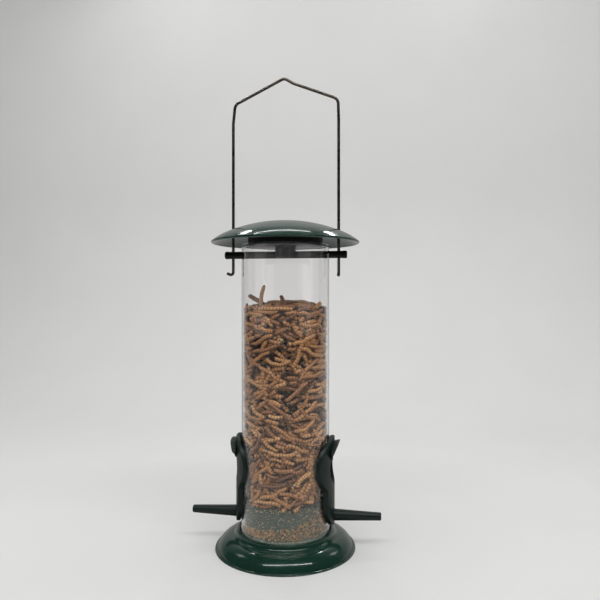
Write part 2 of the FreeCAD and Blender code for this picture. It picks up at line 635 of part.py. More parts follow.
def feed_dust():
    """Crumbs of feed lying in the narrow gap between the insert and the foot of the tube."""
    bottom, top = DUST
    flare_slope = (FLARE_BORE - TUBE_BORE) / (FLARE_TOP - FLARE_BOTTOM)
    bore_bottom = TUBE_BORE + flare_slope * (FLARE_TOP - bottom)
    ring = turned_outline([
        (insert_radius(bottom) + DUST_GAP, bottom),
        (bore_bottom - DUST_GAP, bottom),
        (TUBE_BORE - DUST_GAP, FLARE_TOP + 0.2),
        (TUBE_BORE - DUST_GAP, top - 0.6),
        (insert_radius(top) + DUST_GAP, top),
    ])
    return ring.cut(rod_x(PERCH_PEG_RADIUS + PEG_CLEARANCE, -40, 40, PERCH_HEIGHT))


def make_parts():
    floor_bottom = DISH_FLOOR - DISH_WALL
    head_room = BAR_TOP + SADDLE_TOP_GAP + 0.4
    port = port_body()
    baffle = port_baffle()
    peg = perch()
    return {
        "base_dish": base_dish(),
        "base_insert": base_insert(),
        "base_washer": washer(BASE_WASHER_RADIUS, floor_bottom - WASHER),
        "base_screw": screw(floor_bottom - WASHER - SCREW_HEAD, BOSS_HOLE_TOP - 2),
        "tube": tube(),
        "right_port": port,
        "left_port": mirrored(port),
        "right_baffle": baffle,
        "left_baffle": mirrored(baffle),
        "right_perch": peg,
        "left_perch": mirrored(peg),
        "crossbar": crossbar(),
        "wire_handle": wire_handle(),
        "lid_dome": lid_dome(),
        "lid_plug": lid_plug(),
        "lid_saddle": lid_saddle(),
        "lid_washer": washer(LID_WASHER_RADIUS, head_room + SCREW_HEAD),
        "lid_screw": screw(head_room, LID_APEX - 4),
        "mealworm_feed": mealworm_feed(),
        "feed_dust": feed_dust(),
    }


def main():
    os.makedirs("parts", exist_ok=True)
    for name, shape in make_parts().items():
        solids = shape.Solids
        good = shape.isValid() and len(solids) == 1 and solids[0].Volume > 0
        print(f"{name}: {len(solids)} solid, {shape.Volume / 1000:.2f} cm3", "" if good else "BAD")
        solids[0].exportStep(f"parts/{name}.step")


main()
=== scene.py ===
"""A hanging tube feeder for wild birds: its finishes, and the dried mealworms and crumbs inside it.

Metres, +Z up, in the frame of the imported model. The ports and the crossbar lie along X, and -Y is
the front. Names that end in _mm are millimetres.
"""
import math

import bpy
import numpy as np
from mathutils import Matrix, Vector


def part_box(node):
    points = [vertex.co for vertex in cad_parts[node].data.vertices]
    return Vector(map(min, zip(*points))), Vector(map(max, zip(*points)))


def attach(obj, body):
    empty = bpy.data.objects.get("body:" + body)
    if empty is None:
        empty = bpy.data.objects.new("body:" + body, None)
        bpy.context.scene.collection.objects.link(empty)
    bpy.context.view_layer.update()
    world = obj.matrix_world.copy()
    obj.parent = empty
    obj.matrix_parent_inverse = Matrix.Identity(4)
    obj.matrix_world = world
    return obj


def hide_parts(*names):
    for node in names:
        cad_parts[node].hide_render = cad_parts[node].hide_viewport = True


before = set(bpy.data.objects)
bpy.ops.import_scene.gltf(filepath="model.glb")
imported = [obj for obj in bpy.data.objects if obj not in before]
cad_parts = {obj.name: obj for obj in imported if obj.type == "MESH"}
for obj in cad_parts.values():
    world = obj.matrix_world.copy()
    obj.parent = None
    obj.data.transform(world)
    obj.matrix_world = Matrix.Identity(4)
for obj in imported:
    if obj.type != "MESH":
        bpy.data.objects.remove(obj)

MM = 0.001

# ---- camera: level, a little below the middle of the feeder, its lens like a phone's
LENS = 35.97
SENSOR = 36.0
CAMERA_BACK = 0.4326
CAMERA_ASIDE = 0.0105
CAMERA_HEIGHT = 0.1768
CAMERA_TURN = math.radians(7.06)     # the feeder stands turned by this to the camera

# ---- the feed, in millimetres
WORM_COUNT = 930
WORM_POINTS = 8                      # points of each worm's centre line while the feed settles
WORM_RINGS = 13
WORM_SIDES = 6
WORM_SEGMENTS = 13                   # rings of chitin that show along a worm
WORM_RADIUS_MM = (1.28, 1.58)
WORM_LENGTH_MM = (21.0, 30.0)
WORM_GAP_MM = 2.85                   # centre line to centre line where two worms touch
WORM_ROOM_MM = 1.42                  # centre line to wall where a worm touches it
OUTWARD_MM = 0.03                    # how far the heap presses out in one settling step
CORE_RADIUS_MM = 20.5
SETTLE_STEPS = 160
FEED_BANDS = ("lowest", "lower", "upper", "highest")

# ---- the walls that the feed lies against, in millimetres
INSERT_SHOULDER = 27.6               # radius of the insert where its domed top begins
INSERT_CROWN = 8.6                   # height of the domed top over that shoulder
HOOD_HEIGHT = 57.6                   # the axis of the ports' hoods inside the tube
HOOD_RADIUS = 15.2
HOOD_START = 17.6                    # from the feeder's axis to the inner end of a hood
PLATE_HALF = 17.6                    # half the width of a baffle's plate
PLATE_TOP = 76.0
PLATE_INSIDE = 27.0                  # from the feeder's axis to a plate
TUBE_MARGIN = 0.35                   # the worms lie nearer to the tube than the plain feed does
HEAP_FALL = 4.0                      # how much lower the heap is at the tube than at its middle

# ---- crumbs and dust that fall past the worms
CRUMB_COUNT = 2700
STRAY_COUNT = 700                    # single crumbs scattered round the insert
MEAL_COUNT = 1300                    # crumbs caught between the worms and the tube


# ---------------------------------------------------------------- small helpers

def linear(hex_colour):
    """An sRGB hex colour as the linear colour that a shader takes."""
    channels = [int(hex_colour[i:i + 2], 16) / 255 for i in (1, 3, 5)]
    return [c / 12.92 if c <= 0.04045 else ((c + 0.055) / 1.055) ** 2.4 for c in channels] + [1.0]


def add_node(tree, kind, inputs=(), **settings):
    """Adds a node, sets its properties, and sets or links its inputs."""
    made = tree.nodes.new(kind)
    for name, value in settings.items():
        setattr(made, name, value)
    for socket, value in dict(inputs).items():
        if isinstance(value, bpy.types.NodeSocket):
            tree.links.new(value, made.inputs[socket])
        else:
            made.inputs[socket].default_value = value
    return made


def new_material(name):
    """An empty material: the material, its node tree and its Object coordinates."""
    material = bpy.data.materials.new(name)
    material.use_nodes = True
    tree = material.node_tree
    tree.nodes.clear()
    place = add_node(tree, "ShaderNodeTexCoord").outputs["Object"]
    return material, tree, place


def finish_material(tree, shader):
    """Joins the last shader to the material's output."""
    add_node(tree, "ShaderNodeOutputMaterial", {"Surface": shader.outputs[0]})


def coat(material, *names):
    """Gives CAD nodes a material in place of the plain one they were packed with."""
    for name in names:
        for material_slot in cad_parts[name].material_slots:
            material_slot.material = material


def deselect_all():
    for item in bpy.context.selected_objects:
        item.select_set(False)


def activate(piece):
    deselect_all()
    piece.select_set(True)
    bpy.context.view_layer.objects.active = piece


def name_piece(name):
    """Names the object that an operator has just made, and its mesh."""
    piece = bpy.context.object
    piece.name = name
    piece.data.name = name
    return piece


def apply_modifier(piece, kind, **settings):
    activate(piece)
    modifier = piece.modifiers.new("shaping", kind)
    for name, value in settings.items():
        setattr(modifier, name, value)
    bpy.ops.object.modifier_apply(modifier=modifier.name)


def smoothed(low, high, value):
    """0 below low, 1 above high and a smooth step between them."""
    share = np.clip((value - low) / (high - low), 0, 1)
    return share * share * (3 - 2 * share)


# ---------------------------------------------------------------- camera, lights and floor

def make_camera():
    across = Vector((math.cos(CAMERA_TURN), math.sin(CAMERA_TURN), 0))
    ahead = Vector((-math.sin(CAMERA_TURN), math.cos(CAMERA_TURN), 0))
    data = bpy.data.cameras.new("camera")
    data.sensor_width = SENSOR
    data.lens = LENS
    camera = bpy.data.objects.new("camera", data)
    camera.location = across * CAMERA_ASIDE - ahead * CAMERA_BACK + Vector((0, 0, CAMERA_HEIGHT))
    camera.rotation_mode = "QUATERNION"
    camera.rotation_quaternion = ahead.to_track_quat("-Z", "Y")
    bpy.context.scene.collection.objects.link(camera)
    bpy.context.scene.camera = camera


def make_softbox(name, place, aim, size, power, mirrored=False):
    """A rectangular softbox that faces aim. Only a mirrored one shows as a highlight on gloss."""
    data = bpy.data.lights.new(name, "AREA")
    data.shape = "RECTANGLE"
    data.size, data.size_y = size
    data.energy = power
    lamp = bpy.data.objects.new(name, data)
    lamp.location = place
    lamp.rotation_mode = "QUATERNION"
    lamp.rotation_quaternion = (Vector(aim) - Vector(place)).to_track_quat("-Z", "Y")
    lamp.visible_glossy = mirrored
    bpy.context.scene.collection.objects.link(lamp)


def mirrored_ray(tree):
    """A value that is 1 on a ray that gloss has mirrored, and 0 on one that came straight through."""
    ray = add_node(tree, "ShaderNodeLightPath")
    mirrored = add_node(
        tree, "ShaderNodeMath",
        {0: ray.outputs["Is Glossy Ray"], 1: ray.outputs["Is Transmission Ray"]},
        operation="SUBTRACT", use_clamp=True,
    )
    return mirrored.outputs["Value"]


def light_studio():
    """Soft light from above and both sides, and the lamps that show on gloss."""
    world = bpy.data.worlds.new("studio")
    world.use_nodes = True
    tree = world.node_tree
    background = tree.nodes["Background"]
    background.inputs["Color"].default_value = linear("#e3e3e4")
    # the unlit side of the room is darker than the paper, so gloss mirrors less light than it gets
    lit = add_node(
        tree, "ShaderNodeMapRange",
        {"Value": mirrored_ray(tree), "To Min": 0.27, "To Max": 0.05},
    )
    # where the paper ends, the room behind it is nearly as pale as the paper
    ray = add_node(tree, "ShaderNodeLightPath")
    seen = add_node(
        tree, "ShaderNodeMath",
        {0: ray.outputs["Is Camera Ray"], 1: ray.outputs["Is Transmission Ray"]},
        operation="ADD", use_clamp=True,
    )
    strength = add_node(
        tree, "ShaderNodeMath",
        {0: seen.outputs["Value"], 1: 0.42, 2: lit.outputs["Result"]},
        operation="MULTIPLY_ADD",
    )
    tree.links.new(strength.outputs["Value"], background.inputs["Strength"])
    bpy.context.scene.world = world
    middle = (0, 0, 0.12)
    make_softbox("overhead", (0.0, -0.10, 1.05), middle, (1.3, 1.1), 6.0)
    make_softbox("left_fill", (-1.0, -0.55, 0.50), middle, (0.8, 0.9), 1.7)
    make_softbox("right_fill", (1.0, -0.55, 0.50), middle, (0.8, 0.9), 1.5)
    # the tubes and panes of the room show as lines and spots on gloss
    make_softbox("front_strip", (0.15, -0.62, 1.05), middle, (1.5, 0.03), 4.5, mirrored=True)
    make_softbox("back_strip", (-0.14, 0.62, 1.30), middle, (0.62, 0.02), 0.7, mirrored=True)
    make_softbox("left_pane", (-0.42, 0.62, 1.02), middle, (0.12, 0.05), 0.6, mirrored=True)
    make_softbox("right_pane", (0.25, 0.75, 0.98), middle, (0.12, 0.05), 0.6, mirrored=True)
    make_softbox("left_glow", (-0.94, 0.13, 0.91), middle, (0.24, 0.24), 0.3, mirrored=True)
    make_softbox("right_glow", (0.90, 0.50, 0.84), middle, (0.24, 0.24), 0.3, mirrored=True)
    bpy.context.scene.view_settings.view_transform = "Standard"


def paper_sweep():
    """Matt studio paper: near white, with the faint mottling of its fibres."""
    material, tree, place = new_material("studio_paper")
    fibre = add_node(tree, "ShaderNodeTexNoise", {"Vector": place, "Scale": 9.0, "Detail": 4.0})
    shade = add_node(
        tree, "ShaderNodeMix",
        {0: fibre.outputs["Fac"], 6: linear("#dbdbda"), 7: linear("#e1e1df")},
        data_type="RGBA",
    )
    # gloss mirrors the paper dimmer than it is, most of all the paper in front of the feeder
    across = add_node(tree, "ShaderNodeSeparateXYZ", {"Vector": place})
    front = add_node(
        tree, "ShaderNodeMapRange",
        {"Value": across.outputs["Y"], "From Min": -0.30, "From Max": 0.10,
         "To Min": 0.85, "To Max": 0.45},
    )
    share = add_node(
        tree, "ShaderNodeMath",
        {0: mirrored_ray(tree), 1: front.outputs["Result"]},
        operation="MULTIPLY",
    )
    seen = add_node(
        tree, "ShaderNodeMix",
        {0: share.outputs["Value"], 6: shade.outputs[2], 7: linear("#181a1a")},
        data_type="RGBA",
    )
    shader = add_node(
        tree, "ShaderNodeBsdfPrincipled",
        {"Base Color": seen.outputs[2], "Roughness": 0.75, "Specular IOR Level": 0.2},
    )
    finish_material(tree, shader)
    return material


def make_sweep():
    """Floor of pale paper that curves up behind the feeder."""
    deselect_all()
    depth = 2.6
    turn_back = 0.78
    bpy.ops.mesh.primitive_plane_add(size=1, location=(0, 0, 0))
    sweep = name_piece("paper_sweep")
    bpy.ops.object.mode_set(mode="EDIT")
    bpy.ops.mesh.select_all(action="SELECT")
    bpy.ops.transform.resize(value=(5.0, depth, 1))
    bpy.ops.transform.translate(value=(0, turn_back - depth / 2, 0))
    bpy.ops.object.mode_set(mode="OBJECT")
    for edge in sweep.data.edges:
        edge.select = all(sweep.data.vertices[i].co.y > turn_back - 0.01 for i in edge.vertices)
    for vertex in sweep.data.vertices:
        vertex.select = vertex.co.y > turn_back - 0.01
    for polygon in sweep.data.polygons:
        polygon.select = False
    bpy.ops.object.mode_set(mode="EDIT")
    bpy.ops.mesh.select_mode(type="EDGE")
    bpy.ops.mesh.extrude_region_move(TRANSFORM_OT_translate={"value": (0, 0, 2.4)})
    bpy.ops.object.mode_set(mode="OBJECT")
    apply_modifier(sweep, "BEVEL", width=0.40, segments=24, limit_method="ANGLE", affect="EDGES")
    bpy.ops.object.shade_smooth()
    sweep.data.materials.append(paper_sweep())


# ---------------------------------------------------------------- materials of the CAD parts

def stoved_enamel():
    """Dark green stoved enamel on die-cast zinc: glossy, with a faint orange-peel ripple."""
    material, tree, place = new_material("stoved_enamel")
    cloud = add_node(tree, "ShaderNodeTexNoise", {"Vector": place, "Scale": 45.0, "Detail": 3.0})
    green = add_node(
        tree, "ShaderNodeMix",
        {0: cloud.outputs["Fac"], 6: linear("#0d2a22"), 7: linear("#15392d")},
        data_type="RGBA",
    )
    # dust settles as specks about 0.5 mm across
    dust = add_node(tree, "ShaderNodeTexNoise", {"Vector": place, "Scale": 1700.0, "Detail": 2.0})
    speck = add_node(
        tree, "ShaderNodeMapRange",
        {"Value": dust.outputs["Fac"], "From Min": 0.66, "From Max": 0.80, "To Max": 0.5},
    )
    dusty = add_node(
        tree, "ShaderNodeMix",
        {0: speck.outputs["Result"], 6: green.outputs[2], 7: linear("#6c7d74")},
        data_type="RGBA",
    )
    # handling rubs the gloss in patches about 15 mm across
    rub = add_node(tree, "ShaderNodeTexNoise", {"Vector": place, "Scale": 70.0, "Detail": 5.0})
    gloss = add_node(
        tree, "ShaderNodeMapRange",
        {"Value": rub.outputs["Fac"], "From Min": 0.3, "From Max": 0.7, "To Min": 0.12, "To Max": 0.21},
    )
    # orange peel repeats about every 2.5 mm
    peel = add_node(tree, "ShaderNodeTexNoise", {"Vector": place, "Scale": 400.0, "Detail": 1.0})
    ripple = add_node(
        tree, "ShaderNodeBump",
        {"Height": peel.outputs["Fac"], "Strength": 0.22, "Distance": 0.2 * MM},
    )
    shader = add_node(
        tree, "ShaderNodeBsdfPrincipled",
        {
            "Base Color": dusty.outputs[2],
            "Roughness": gloss.outputs["Result"],
            "IOR": 1.52,
            "Coat Weight": 0.6,
            "Coat Roughness": 0.04,
            "Normal": ripple.outputs["Normal"],
        },
    )
    finish_material(tree, shader)
    return material


def moulded_polypropylene(name, dark, light, low_gloss, high_gloss):
    """Moulded polypropylene: a satin skin with fine spark-eroded grain and pale scuffs."""
    material, tree, place = new_material(name)
    cloud = add_node(tree, "ShaderNodeTexNoise", {"Vector": place, "Scale": 90.0, "Detail": 3.0})
    colour = add_node(
        tree, "ShaderNodeMix",
        {0: cloud.outputs["Fac"], 6: linear(dark), 7: linear(light)},
        data_type="RGBA",
    )
    # scuffs a few millimetres long, thin and sparse
    stretched = add_node(
        tree, "ShaderNodeMapping",
        {"Vector": place, "Scale": (900.0, 260.0, 420.0), "Rotation": (0.4, 0.2, 0.9)},
    )
    scuff = add_node(
        tree, "ShaderNodeTexNoise",
        {"Vector": stretched.outputs["Vector"], "Scale": 1.0, "Detail": 3.0},
    )
    scuffed = add_node(
        tree, "ShaderNodeMapRange",
        {"Value": scuff.outputs["Fac"], "From Min": 0.64, "From Max": 0.82, "To Max": 0.16},
    )
    worn = add_node(
        tree, "ShaderNodeMix",
        {0: scuffed.outputs["Result"], 6: colour.outputs[2], 7: linear("#7e8c86")},
        data_type="RGBA",
    )
    gloss = add_node(
        tree, "ShaderNodeMapRange",
        {"Value": cloud.outputs["Fac"], "From Min": 0.3, "From Max": 0.7,
         "To Min": low_gloss, "To Max": high_gloss},
    )
    # eroded mould grain is about 0.15 mm, drawn here at 0.4 mm so that it shows
    grain = add_node(tree, "ShaderNodeTexNoise", {"Vector": place, "Scale": 2500.0, "Detail": 2.0})
    texture = add_node(
        tree, "ShaderNodeBump",
        {"Height": grain.outputs["Fac"], "Strength": 0.16, "Distance": 0.1 * MM},
    )
    shader = add_node(
        tree, "ShaderNodeBsdfPrincipled",
        {
            "Base Color": worn.outputs[2],
            "Roughness": gloss.outputs["Result"],
            "IOR": 1.49,
            "Normal": texture.outputs["Normal"],
        },
    )
    finish_material(tree, shader)
    return material


def dusted_deflector():
    """Grey-green moulded insert with a film of worm dust that thickens towards its foot."""
    material, tree, place = new_material("dusted_deflector")
    low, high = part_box("base_insert")
    height = add_node(tree, "ShaderNodeSeparateXYZ", {"Vector": place})
    foot = add_node(
        tree, "ShaderNodeMapRange",
        {"Value": height.outputs["Z"], "From Min": low.z + 4 * MM, "From Max": high.z - 6 * MM,
         "To Min": 0.75, "To Max": 0.16},
    )
    # dust lies in specks about 0.6 mm across
    specks = add_node(tree, "ShaderNodeTexNoise", {"Vector": place, "Scale": 1300.0, "Detail": 3.0})
    sharp = add_node(
        tree, "ShaderNodeMapRange",
        {"Value": specks.outputs["Fac"], "From Min": 0.54, "From Max": 0.64},
    )
    share = add_node(
        tree, "ShaderNodeMath",
        {0: sharp.outputs["Result"], 1: foot.outputs["Result"]},
        operation="MULTIPLY",
    )
    cloud = add_node(tree, "ShaderNodeTexNoise", {"Vector": place, "Scale": 60.0, "Detail": 3.0})
    plastic = add_node(
        tree, "ShaderNodeMix",
        {0: cloud.outputs["Fac"], 6: linear("#2f403a"), 7: linear("#3e5149")},
        data_type="RGBA",
    )
    colour = add_node(
        tree, "ShaderNodeMix",
        {0: share.outputs["Value"], 6: plastic.outputs[2], 7: linear("#b3a48a")},
        data_type="RGBA",
    )
    bump = add_node(
        tree, "ShaderNodeBump",
        {"Height": share.outputs["Value"], "Strength": 0.4, "Distance": 0.15 * MM},
    )
    shader = add_node(
        tree, "ShaderNodeBsdfPrincipled",
        {"Base Color": colour.outputs[2], "Roughness": 0.62, "IOR": 1.49,
         "Normal": bump.outputs["Normal"]},
    )
    finish_material(tree, shader)
    return material


def clear_polycarbonate():
    """Extruded clear polycarbonate, with feed dust clinging inside its lower half."""
    material, tree, place = new_material("clear_polycarbonate")
    _, feed_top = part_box("mealworm_feed")
    # extruding leaves faint draw lines along the tube, about 5 mm apart round it
    drawn = add_node(tree, "ShaderNodeMapping", {"Vector": place, "Scale": (200.0, 200.0, 2.0)})
    lines = add_node(
        tree, "ShaderNodeTexNoise",
        {"Vector": drawn.outputs["Vector"], "Scale": 1.0, "Detail": 2.0},
    )
    ripple = add_node(
        tree, "ShaderNodeBump",
        {"Height": lines.outputs["Fac"], "Strength": 0.12, "Distance": 0.3 * MM},
    )
    clear = add_node(
        tree, "ShaderNodeBsdfPrincipled",
        {
            "Base Color": linear("#fcfbfb"),
            "Roughness": 0.02,
            "IOR": 1.5,
            "Transmission Weight": 1.0,
            "Normal": ripple.outputs["Normal"],
        },
    )
    # lamps shine through the wall instead of being stopped by it
    ray = add_node(tree, "ShaderNodeLightPath")
    passed = add_node(tree, "ShaderNodeBsdfTransparent", {"Color": linear("#f6f5f5")})
    wall = add_node(
        tree, "ShaderNodeMixShader",
        {0: ray.outputs["Is Shadow Ray"], 1: clear.outputs[0], 2: passed.outputs[0]},
    )
    # the dust film: thick at the foot, gone at the top of the feed, in drifts about 12 mm across
    height = add_node(tree, "ShaderNodeSeparateXYZ", {"Vector": place})
    level = add_node(
        tree, "ShaderNodeMapRange",
        {"Value": height.outputs["Z"], "From Min": 0.012, "From Max": feed_top.z,
         "To Min": 0.010, "To Max": 0.001},
    )
    drift = add_node(tree, "ShaderNodeTexNoise", {"Vector": place, "Scale": 85.0, "Detail": 6.0})
    drifted = add_node(
        tree, "ShaderNodeMapRange",
        {"Value": drift.outputs["Fac"], "From Min": 0.30, "From Max": 0.72,
         "To Min": 0.3, "To Max": 1.2},
    )
    film = add_node(
        tree, "ShaderNodeMath",
        {0: level.outputs["Result"], 1: drifted.outputs["Result"]},
        operation="MULTIPLY",
    )
    dust = add_node(
        tree, "ShaderNodeBsdfPrincipled",
        {"Base Color": linear("#c9beac"), "Roughness": 0.85, "Specular IOR Level": 0.2},
    )
    shader = add_node(
        tree, "ShaderNodeMixShader",
        {0: film.outputs["Value"], 1: wall.outputs[0], 2: dust.outputs[0]},
    )
    finish_material(tree, shader)
    return material


def drawn_wire():
    """Drawn steel wire: fine draw lines along it and a brown-grey tarnish."""
    material, tree, place = new_material("drawn_wire")
    tarnish = add_node(tree, "ShaderNodeTexNoise", {"Vector": place, "Scale": 160.0, "Detail": 5.0})
    colour = add_node(
        tree, "ShaderNodeMix",
        {0: tarnish.outputs["Fac"], 6: linear("#5a5149"), 7: linear("#a3998d")},
        data_type="RGBA",
    )
    gloss = add_node(
        tree, "ShaderNodeMapRange",
        {"Value": tarnish.outputs["Fac"], "From Min": 0.3, "From Max": 0.7,
         "To Min": 0.22, "To Max": 0.42},
    )
    # draw lines run along the wire, drawn here 0.3 mm apart so that they show
    along = add_node(tree, "ShaderNodeMapping", {"Vector": place, "Scale": (3300.0, 3300.0, 60.0)})
    lines = add_node(
        tree, "ShaderNodeTexNoise", {"Vector": along.outputs["Vector"], "Scale": 1.0, "Detail": 2.0}
    )
    bump = add_node(
        tree, "ShaderNodeBump",
        {"Height": lines.outputs["Fac"], "Strength": 0.25, "Distance": 0.05 * MM},
    )
    shader = add_node(
        tree, "ShaderNodeBsdfPrincipled",
        {
            "Base Color": colour.outputs[2],
            "Metallic": 1.0,
            "Roughness": gloss.outputs["Result"],
            "Normal": bump.outputs["Normal"],
        },
    )
    finish_material(tree, shader)
    return material


def zinc_plate():
    """Zinc-plated steel fasteners: pale grey with a cloudy blue-white passivation."""
    material, tree, place = new_material("zinc_plate")
    cloud = add_node(tree, "ShaderNodeTexNoise", {"Vector": place, "Scale": 600.0, "Detail": 4.0})
    colour = add_node(
        tree, "ShaderNodeMix",
        {0: cloud.outputs["Fac"], 6: linear("#9aa0a4"), 7: linear("#d0d1ca")},
        data_type="RGBA",
    )
    gloss = add_node(
        tree, "ShaderNodeMapRange",
        {"Value": cloud.outputs["Fac"], "From Min": 0.3, "From Max": 0.7,
         "To Min": 0.24, "To Max": 0.45},
    )
    shader = add_node(
        tree, "ShaderNodeBsdfPrincipled",
        {"Base Color": colour.outputs[2], "Metallic": 1.0, "Roughness": gloss.outputs["Result"]},
    )
    finish_material(tree, shader)
    return material


# ---------------------------------------------------------------- materials of the feed

def dried_chitin():
    """Dried mealworm skin: golden tan rings with rust joints, darker at the head and the tail."""
    material, tree, place = new_material("dried_chitin")
    along = add_node(tree, "ShaderNodeAttribute", attribute_name="along").outputs["Fac"]
    tone = add_node(tree, "ShaderNodeAttribute", attribute_name="tone").outputs["Fac"]
    # each worm takes its own colour between straw, tan, rust and dark brown
    shade = add_node(tree, "ShaderNodeValToRGB", {"Fac": tone})
    ramp = shade.color_ramp
    ramp.elements[0].position = 0.0
    ramp.elements[0].color = linear("#64402a")
    ramp.elements[1].position = 1.0
    ramp.elements[1].color = linear("#cfa06c")
    ramp.elements.new(0.28).color = linear("#94633a")
    ramp.elements.new(0.62).color = linear("#b78550")
    # the joint between two rings is a dark line, and the ring swells between joints
    count = add_node(
        tree, "ShaderNodeMath", {0: along, 1: float(WORM_SEGMENTS)}, operation="MULTIPLY"
    )
    wave = add_node(
        tree, "ShaderNodeMath", {0: count.outputs["Value"], 1: 0.5}, operation="PINGPONG"
    )
    swell = add_node(
        tree, "ShaderNodeMapRange",
        {"Value": wave.outputs["Value"], "From Min": 0.03, "From Max": 0.17},
        interpolation_type="SMOOTHSTEP",
    )
    jointed = add_node(
        tree, "ShaderNodeMix",
        {0: swell.outputs["Result"], 6: linear("#4a2a17"), 7: shade.outputs["Color"]},
        data_type="RGBA",
    )
    # blotches about 2 mm across
    blotch = add_node(tree, "ShaderNodeTexNoise", {"Vector": place, "Scale": 480.0, "Detail": 4.0})
    patch = add_node(
        tree, "ShaderNodeMapRange",
        {"Value": blotch.outputs["Fac"], "From Min": 0.48, "From Max": 0.72, "To Max": 0.55},
    )
    blotched = add_node(
        tree, "ShaderNodeMix",
        {0: patch.outputs["Result"], 6: jointed.outputs[2], 7: linear("#6d4327")},
        data_type="RGBA",
    )
    # the last ring and the head are nearly black
    end = add_node(tree, "ShaderNodeMath", {0: along, 1: 0.5}, operation="SUBTRACT")
    reach = add_node(tree, "ShaderNodeMath", {0: end.outputs["Value"]}, operation="ABSOLUTE")
    tip = add_node(
        tree, "ShaderNodeMapRange",
        {"Value": reach.outputs["Value"], "From Min": 0.40, "From Max": 0.46, "To Max": 0.95},
    )
    colour = add_node(
        tree, "ShaderNodeMix",
        {0: tip.outputs["Result"], 6: blotched.outputs[2], 7: linear("#180d07")},
        data_type="RGBA",
    )
    bump = add_node(
        tree, "ShaderNodeBump",
        {"Height": swell.outputs["Result"], "Strength": 0.5, "Distance": 0.2 * MM},
    )
    shader = add_node(
        tree, "ShaderNodeBsdfPrincipled",
        {
            "Base Color": colour.outputs[2],
            "Roughness": 0.48,
            "IOR": 1.54,
            "Coat Weight": 0.12,
            "Coat Roughness": 0.3,
            "Normal": bump.outputs["Normal"],
        },
    )
    finish_material(tree, shader)
    return material


def painted_shade_feed():
    """The inside of the feed: worm brown painted dark as the shade deep between the worms, where only
    broken skins catch the light.
    """
    material, tree, place = new_material("painted_shade_feed")
    skins = add_node(tree, "ShaderNodeTexNoise", {"Vector": place, "Scale": 420.0, "Detail": 6.0})
    # painted shade: both browns are darkened to stand for the shade deep in the heap, and the lighter
    # mottle is painted light on broken skins
    colour = add_node(
        tree, "ShaderNodeMix",
        {0: skins.outputs["Fac"], 6: linear("#1c0b05"), 7: linear("#4e2e17")},
        data_type="RGBA",
    )
    bump = add_node(
        tree, "ShaderNodeBump",
        {"Height": skins.outputs["Fac"], "Strength": 0.8, "Distance": 1.0 * MM},
    )
    shader = add_node(
        tree, "ShaderNodeBsdfPrincipled",
        {"Base Color": colour.outputs[2], "Roughness": 0.8, "Normal": bump.outputs["Normal"]},
    )
    finish_material(tree, shader)
    return material


def worm_crumbs():
    """Crumbs of dried skin: pale husks and darker meal, each crumb its own tone."""
    material, tree, place = new_material("worm_crumbs")
    tone = add_node(tree, "ShaderNodeAttribute", attribute_name="tone").outputs["Fac"]
    shade = add_node(tree, "ShaderNodeValToRGB", {"Fac": tone})
    ramp = shade.color_ramp
    ramp.elements[0].color = linear("#5a3d24")
    ramp.elements[1].color = linear("#e2d1ae")
    ramp.elements.new(0.45).color = linear("#9a744a")
    ramp.elements.new(0.8).color = linear("#c3a274")
    mottle = add_node(tree, "ShaderNodeTexNoise", {"Vector": place, "Scale": 2200.0, "Detail": 2.0})
    colour = add_node(
        tree, "ShaderNodeMix",
        {0: 0.35, 6: shade.outputs["Color"], 7: mottle.outputs["Fac"]},
        data_type="RGBA",
        blend_type="OVERLAY",
    )
    shader = add_node(
        tree, "ShaderNodeBsdfPrincipled", {"Base Color": colour.outputs[2], "Roughness": 0.7}
    )
    finish_material(tree, shader)
    return material


# ---------------------------------------------------------------- how the feed lies

class Space:
    """The room that the feed has, in millimetres: the tube, the insert under it and the ports."""

    def __init__(self):
        _, feed_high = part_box("mealworm_feed")
        _, insert_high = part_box("base_insert")
        self.radius = feed_high.y / MM + TUBE_MARGIN
        self.top = feed_high.z / MM
        self.insert_top = insert_high.z / MM

    def surface(self, across):
        """Height of the top of the heap, which falls away towards the tube."""
        return self.top - HEAP_FALL * (across / self.radius) ** 2

    def floor(self, across):
        """Height of the insert's domed top at a distance from the axis."""
        return self.insert_top - INSERT_CROWN * np.minimum(across / INSERT_SHOULDER, 1.1) ** 2

    def push_in(self, points, radius):
        """Moves points that stand in a wall or a port to the nearest free place."""
        across = np.hypot(points[..., 0], points[..., 1])
        plate = (np.abs(points[..., 1]) < PLATE_HALF) & (points[..., 2] < PLATE_TOP)
        plate &= np.abs(points[..., 0]) > 10
        limit = np.where(plate, PLATE_INSIDE, self.radius) - radius
        inner = np.where(points[..., 2] < self.top - 8.0, CORE_RADIUS_MM, 0.0)
        wanted = np.clip(across, inner, limit)
        points[..., :2] *= (wanted / np.maximum(across, 1e-6))[..., None]
        bottom = self.floor(wanted) + radius
        points[..., 2] = np.clip(points[..., 2], bottom, self.surface(wanted) - radius)
        rise = points[..., 2] - HOOD_HEIGHT
        off_axis = np.hypot(points[..., 1], rise)
        depth = np.abs(points[..., 0]) - HOOD_START + radius
        hood = (off_axis < HOOD_RADIUS) & (depth > 0)
        sideways = hood & (HOOD_RADIUS - off_axis < depth)
        scale = np.where(sideways, HOOD_RADIUS / np.maximum(off_axis, 1e-6), 1.0)
        points[..., 1] *= scale
        points[..., 2] = HOOD_HEIGHT + rise * scale
        inward = hood & ~sideways
        points[..., 0] -= np.where(inward, np.sign(points[..., 0]) * depth, 0)


